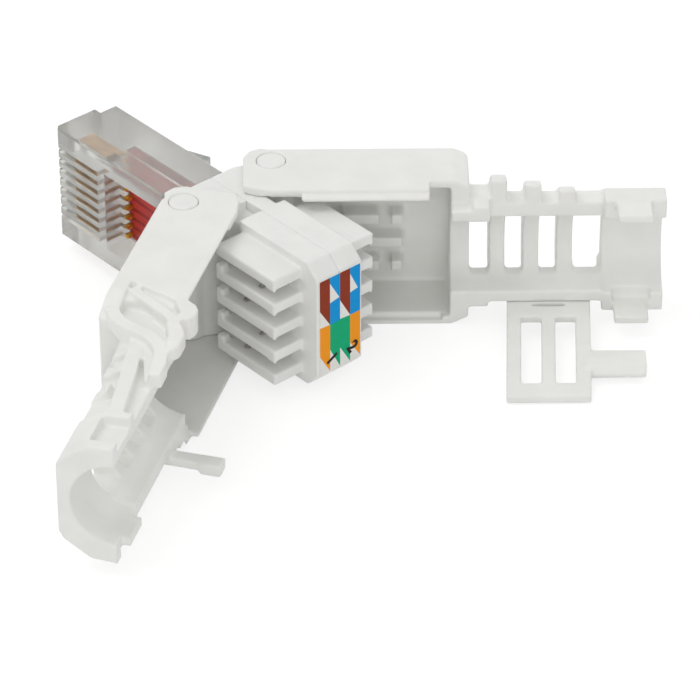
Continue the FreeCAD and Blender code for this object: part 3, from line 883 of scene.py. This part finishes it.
@dataclass
class LatchCover(Cover):
    """The latch side cover, with sloped rear corners and seats for the other cover's lobes."""

    length: float = 17.66
    top: float = 7.25
    corner_run: float = 1.5
    corner_fall: float = 1.0
    seat_depth: float = 1.4
    windows: tuple[Spot, ...] = (
        (17.76, 19.525), (20.975, 22.575), (24.025, 25.625), (27.2, 29.4)
    )

    def shape(self, piece: bpy.types.Object, blank: Blank) -> None:
        """Slopes the rear corners and the windows, and cuts the seats of the lobes.

        Args:
            piece: the piece in its own place.
            blank: makes solids in that place.
        """
        end = self.length
        for way in (1, -1):
            wedge = [
                (end - self.corner_run, way * self.top),
                (end - self.corner_run, way * (self.top + 0.5)),
                (end + 0.5, way * (self.top + 0.5)),
                (end + 0.5, way * (self.top - self.corner_fall)),
            ]
            carve(piece, blank.across(wedge, -1.0, 7.7))
        carve(
            piece,
            blank.up(block(end - 2.5, end + 0.2, -1.0, self.seat_depth), 4.85, 7.6),
            blank.up(block(end - 3.6, end - 2.4, -1.0, self.seat_depth), 6.35, 7.6),
            blank.up(block(end - 0.2, end + 6.4, -1.0, self.seat_depth), 5.3, 7.6),
        )
        fall = [(3.0, -2.9), (9.0, -2.9), (9.0, -7.2), (3.0, -3.1)]
        for window in self.windows:
            carve(piece, blank.along(fall, *window))


@dataclass
class Strap(MouldedPiece):
    """The strap, whose finger is a flattened barrel."""

    finger_start: float = 28.1
    finger_end: float = 33.5
    finger_middle: Spot = (-7.75, -6.3)
    finger_half: Spot = (1.8, 0.82)
    sides: int = 12
    lean: float = 0.044

    def shape(self, piece: bpy.types.Object, blank: Blank) -> None:
        """Swaps the plain finger for the barrel and leans the whole towards the nose.

        Args:
            piece: the piece in its own place.
            blank: makes solids in that place.
        """
        carve(piece, blank.up(block(28.62, 34.0, -11.5, -4.0), -8.0, -4.0))
        section = []
        for step in range(self.sides):
            turn = math.radians(360 / self.sides * step)
            section.append((
                self.finger_middle[0] + self.finger_half[0] * math.cos(turn),
                self.finger_middle[1] + self.finger_half[1] * math.sin(turn),
            ))
        merge(piece, blank.along(section, self.finger_start, self.finger_end))
        slope = Matrix.Identity(4)
        slope[0][1] = self.lean
        piece.data.transform(slope)


@dataclass
class ColourCard:
    """The card of wire colours on the block's rear, in four columns of slanting fields."""

    node: str = "wiring_label"
    columns: int = 4
    proud: float = 0.01 * MM
    digits: tuple[tuple[str, float, float], ...] = (("1", 0.285, 0.875), ("2", 0.80, 0.855))
    digit_size: float = 1.7 * MM
    digit_weight: float = 0.07 * MM
    digit_depth: float = 0.005 * MM
    digit_turn: float = -62.0
    left: float = field(default=0.0, init=False)
    width: float = field(default=0.0, init=False)
    top: float = field(default=0.0, init=False)
    height: float = field(default=0.0, init=False)
    face: float = field(default=0.0, init=False)
    slants: dict[int, list[tuple[float, float, float, float]]] = field(
        default_factory=lambda: {
            0: [(0.0, 0.31, 0.25, 0.5), (0.0, 0.49, 0.25, 0.5), (0.0, 0.80, 0.25, 1.0)],
            1: [(0.25, 0.06, 0.48, 0.25), (0.25, 0.27, 0.48, 0.25),
                (0.25, 0.5, 0.5, 0.5), (0.25, 0.77, 0.5, 1.0)],
            2: [(0.5, 0.29, 0.75, 0.5), (0.5, 0.49, 0.75, 0.5), (0.5, 0.80, 0.75, 1.0)],
            3: [(0.75, 0.06, 0.94, 0.245), (0.75, 0.26, 0.94, 0.245),
                (0.75, 0.5, 1.0, 0.5), (0.75, 0.80, 1.0, 0.985)],
        }
    )

    def build(self) -> None:
        """Dresses the card and lays the printed fields on it."""
        dress(frame["nodes"][self.node], Ink.PAPER.value)
        low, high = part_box(self.node)
        self.left, self.width = low.y, high.y - low.y
        self.top, self.height = high.z, high.z - low.z
        self.face = high.x
        fields = self.fields()
        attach(fields, Body.BASE.value)
        for index, (digit, across, down) in enumerate(self.digits):
            self.digit(digit, across, down, index)
        LOG.info("colour card: %d fields", len(fields.data.polygons))

    def point(self, across: float, down: float) -> Vector:
        """The place on the card's face at these shares of its width and height."""
        side, level = self.left + across * self.width, self.top - down * self.height
        return Vector((self.face + self.proud, side, level))

    def fields(self) -> bpy.types.Object:
        """Cuts a flat sheet along the columns and slants and gives each field its ink.

        Returns:
            The printed sheet.
        """
        deselect_all()
        centre = self.point(0.5, 0.5)
        bpy.ops.mesh.primitive_plane_add(size=1.0, location=(0, 0, 0))
        sheet = bpy.context.object
        sheet.name = "card_print"
        turn = Matrix.Rotation(math.radians(90), 4, "Y")
        grow = Matrix.Diagonal((1.0, self.width, self.height, 1.0))
        sheet.data.transform(Matrix.Translation(centre) @ grow @ turn)
        bpy.ops.object.mode_set(mode="EDIT")
        for column in range(1, self.columns):
            self.cut(column / self.columns, 0.0, column / self.columns, 1.0, None)
        for column, lines in self.slants.items():
            for line in lines:
                self.cut(*line, column)
        bpy.ops.object.mode_set(mode="OBJECT")
        for ink in Ink:
            sheet.data.materials.append(ink.value.material())
        inks = list(Ink)
        for face in sheet.data.polygons:
            across = (face.center.y - self.left) / self.width
            down = (self.top - face.center.z) / self.height
            face.material_index = inks.index(self.ink_at(across, down))
        if sheet.data.polygons[0].normal.x < 0:
            sheet.data.flip_normals()
        return sheet

    def cut(
        self, across_0: float, down_0: float, across_1: float, down_1: float, column: Optional[int]
    ) -> None:
        """Bisects the sheet along a line, in one column or in all of it.

        Args:
            across_0: where the line starts across the card.
            down_0: where it starts down the card.
            across_1: where it ends across.
            down_1: where it ends down.
            column: the column that is cut, or None for all.
        """
        bpy.ops.mesh.select_mode(type="FACE")
        bpy.ops.mesh.select_all(action="DESELECT")
        mesh = bmesh.from_edit_mesh(bpy.context.object.data)
        for face in mesh.faces:
            across = (face.calc_center_median().y - self.left) / self.width
            if column is None or int(across * self.columns) == column:
                face.select_set(True)
        bmesh.update_edit_mesh(bpy.context.object.data)
        start, end = self.point(across_0, down_0), self.point(across_1, down_1)
        normal = (end - start).cross(Vector((1, 0, 0))).normalized()
        bpy.ops.mesh.bisect(plane_co=start, plane_no=normal, threshold=0.0001 * MM)

    def ink_at(self, across: float, down: float) -> Ink:
        """Finds the ink of the field that holds a place.

        Args:
            across: the place's share of the card's width.
            down: its share of the card's height.

        Returns:
            The field's ink.
        """
        column = min(int(across * self.columns), self.columns - 1)
        passed = 0
        for across_0, down_0, across_1, down_1 in self.slants[column]:
            level = down_0 + (down_1 - down_0) * (across - across_0) / (across_1 - across_0)
            passed += down > level
        order = {
            0: (Ink.BROWN, Ink.PAPER, Ink.ORANGE, Ink.PAPER),
            1: (Ink.BLUE, Ink.PAPER, Ink.BLUE, Ink.GREEN, Ink.PAPER),
            2: (Ink.BROWN, Ink.PAPER, Ink.GREEN, Ink.PAPER),
            3: (Ink.BLUE, Ink.PAPER, Ink.BLUE, Ink.ORANGE, Ink.PAPER),
        }
        if column in (1, 3) and passed in (1, 2) and across > self.slants[column][0][2]:
            return Ink.BLUE
        return order[column][passed]

    def digit(self, text: str, across: float, down: float, index: int) -> None:
        """Prints a small plain digit, turned as on the real card.

        Args:
            text: the digit.
            across: its place across the card.
            down: its place down the card.
            index: its number, for its name.
        """
        deselect_all()
        bpy.ops.object.text_add(location=(0, 0, 0))
        letter = bpy.context.object
        letter.data.body = text
        letter.data.size = self.digit_size
        letter.data.offset = self.digit_weight
        letter.data.align_x = "CENTER"
        letter.data.align_y = "CENTER"
        letter.data.extrude = self.digit_depth
        bpy.ops.object.convert(target="MESH")
        letter = bpy.context.object
        letter.name = f"card_digit_{index + 1}"
        upright = Matrix(((0, 0, 1), (1, 0, 0), (0, 1, 0))).to_4x4()
        lean = Matrix.Rotation(math.radians(self.digit_turn), 4, "X")
        place = self.point(across, down) + Vector((self.proud, 0, 0))
        letter.data.transform(Matrix.Translation(place) @ lean @ upright)
        dress(letter, Ink.BLACK.value)
        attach(letter, Body.BASE.value)


@dataclass
class Nose:
    """The clear nose, its latch, the blades and the board."""

    blades: int = 8
    terminals: int = 8

    def build(self) -> None:
        """Dresses the nose's nodes, which keep their own meshes."""
        nodes = frame["nodes"]
        dress(nodes["plug_housing"], CLEAR_NOSE)
        dress(nodes["latch_lever"], CLEAR_LATCH)
        dress(nodes["circuit_board"], RED_BOARD)
        for number in range(1, self.blades + 1):
            dress(nodes[f"contact_blade_{number}"], GOLD_PLATE)
        for number in range(1, self.terminals + 1):
            dress(nodes[f"idc_terminal_{number}"], TIN_PLATE)
        LOG.info("nose: %d blades and %d terminals", self.blades, self.terminals)


@dataclass
class Studio:
    """Floor, soft lamps, world and the camera of the photograph."""

    azimuth: float = math.radians(48.45)
    elevation: float = math.radians(34.97)
    distance: float = 366.9 * MM
    target: Vector = field(default_factory=lambda: Vector((19.09, -2.41, 7.25)) * MM)
    lens: float = 218.0
    floor_size: float = 3.0
    floor_drop: float = 0.02 * MM
    floor_glow: float = 1.3
    floor_share: float = 0.55
    daylight: float = 0.56

    def build(self) -> None:
        """Adds everything that isn't the object."""
        self.camera()
        self.floor()
        self.lamps()
        self.world()
        bpy.context.scene.view_settings.view_transform = "Standard"

    def back(self) -> Vector:
        """Finds the direction from the object to the camera.

        Returns:
            The direction, one unit long.
        """
        flat = math.cos(self.elevation)
        return Vector((
            math.sin(self.azimuth) * flat,
            -math.cos(self.azimuth) * flat,
            math.sin(self.elevation),
        ))

    def camera(self) -> None:
        """Sets the camera where the photograph was taken from."""
        data = bpy.data.cameras.new("camera")
        data.lens = self.lens
        data.sensor_width = 36.0
        data.clip_start = 0.01
        data.clip_end = 20.0
        camera = bpy.data.objects.new("camera", data)
        bpy.context.scene.collection.objects.link(camera)
        camera.location = self.target + self.back() * self.distance
        camera.rotation_euler = (-self.back()).to_track_quat("-Z", "Y").to_euler()
        bpy.context.scene.camera = camera

    def floor(self) -> None:
        """Lays a white floor that still takes a soft shadow."""
        deselect_all()
        bpy.ops.mesh.primitive_plane_add(size=self.floor_size, location=(0, 0, -self.floor_drop))
        floor = bpy.context.object
        floor.name = "floor"
        made = bpy.data.materials.new("floor_white")
        made.use_nodes = True
        nodes = NodeTree(made.node_tree)
        made.node_tree.nodes.clear()
        paint = nodes.add("ShaderNodeBsdfDiffuse", Color=(0.9, 0.9, 0.9, 1.0))
        white = nodes.add(
            "ShaderNodeEmission", Color=(1.0, 1.0, 1.0, 1.0), Strength=self.floor_glow
        )
        mix = nodes.add("ShaderNodeMixShader")
        nodes.link(nodes.math("MULTIPLY", nodes.seen(), self.floor_share), mix.inputs[0])
        nodes.link(paint.outputs[0], mix.inputs[1])
        nodes.link(white.outputs[0], mix.inputs[2])
        output = nodes.add("ShaderNodeOutputMaterial")
        nodes.link(mix.outputs[0], output.inputs["Surface"])
        floor.data.materials.append(made)

    def lamps(self) -> None:
        """Hangs three soft lamps: a key above, a fill in front and a rim behind."""
        for name, place, power, size in (
            ("key", (-0.35, -0.25, 0.85), 2.3, 0.6),
            ("fill", (0.7, -0.55, 0.45), 1.75, 0.7),
            ("rim", (-0.2, 0.7, 0.5), 0.7, 0.5),
        ):
            data = bpy.data.lights.new(name, "AREA")
            data.energy = power
            data.size = size
            lamp = bpy.data.objects.new(name, data)
            bpy.context.scene.collection.objects.link(lamp)
            lamp.location = place
            away = Vector(place) - self.target
            lamp.rotation_euler = (-away).to_track_quat("-Z", "Y").to_euler()

    def world(self) -> None:
        """Lights the object evenly from all round, and shows white behind it."""
        world = bpy.data.worlds.new("studio")
        world.use_nodes = True
        nodes = NodeTree(world.node_tree)
        world.node_tree.nodes.clear()
        light = nodes.add(
            "ShaderNodeBackground", Color=(1.0, 1.0, 0.985, 1.0), Strength=self.daylight
        )
        white = nodes.add("ShaderNodeBackground", Color=(1.0, 1.0, 1.0, 1.0), Strength=1.0)
        mix = nodes.add("ShaderNodeMixShader")
        nodes.link(nodes.seen(), mix.inputs[0])
        nodes.link(light.outputs[0], mix.inputs[1])
        nodes.link(white.outputs[0], mix.inputs[2])
        output = nodes.add("ShaderNodeOutputWorld")
        nodes.link(mix.outputs[0], output.inputs["Surface"])
        bpy.context.scene.world = world


def main() -> None:
    """Builds the object's looks in order."""
    logging.basicConfig(level=logging.INFO, format="%(name)s %(message)s")
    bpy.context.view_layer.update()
    contact_side, latch_side = Place(side=-1, angle=57.3), Place(side=1, angle=49.25)
    moulded = [
        ContactCover(
            "cover_contact_side", Body.CONTACT_COVER, Slot.WHITE, WHITE_NYLON, contact_side,
            cell=0.14, rounds=5,
        ),
        LatchCover("cover_latch_side", Body.LATCH_COVER, Slot.WHITE, WHITE_NYLON, latch_side),
        Strap("cable_strap", Body.STRAP, Slot.WHITE, WHITE_NYLON, latch_side, cell=0.12),
        MouldedPiece("idc_block_contact_side", Body.BASE, Slot.BLOCK, BLOCK_NYLON, cell=0.13),
        MouldedPiece("idc_block_latch_side", Body.BASE, Slot.BLOCK, BLOCK_NYLON, cell=0.13),
    ]
    for piece in moulded:
        piece.build()
    Nose().build()
    ColourCard().build()
    Studio().build()
    LOG.info("boxes written")


if __name__ == "__main__":
    main()
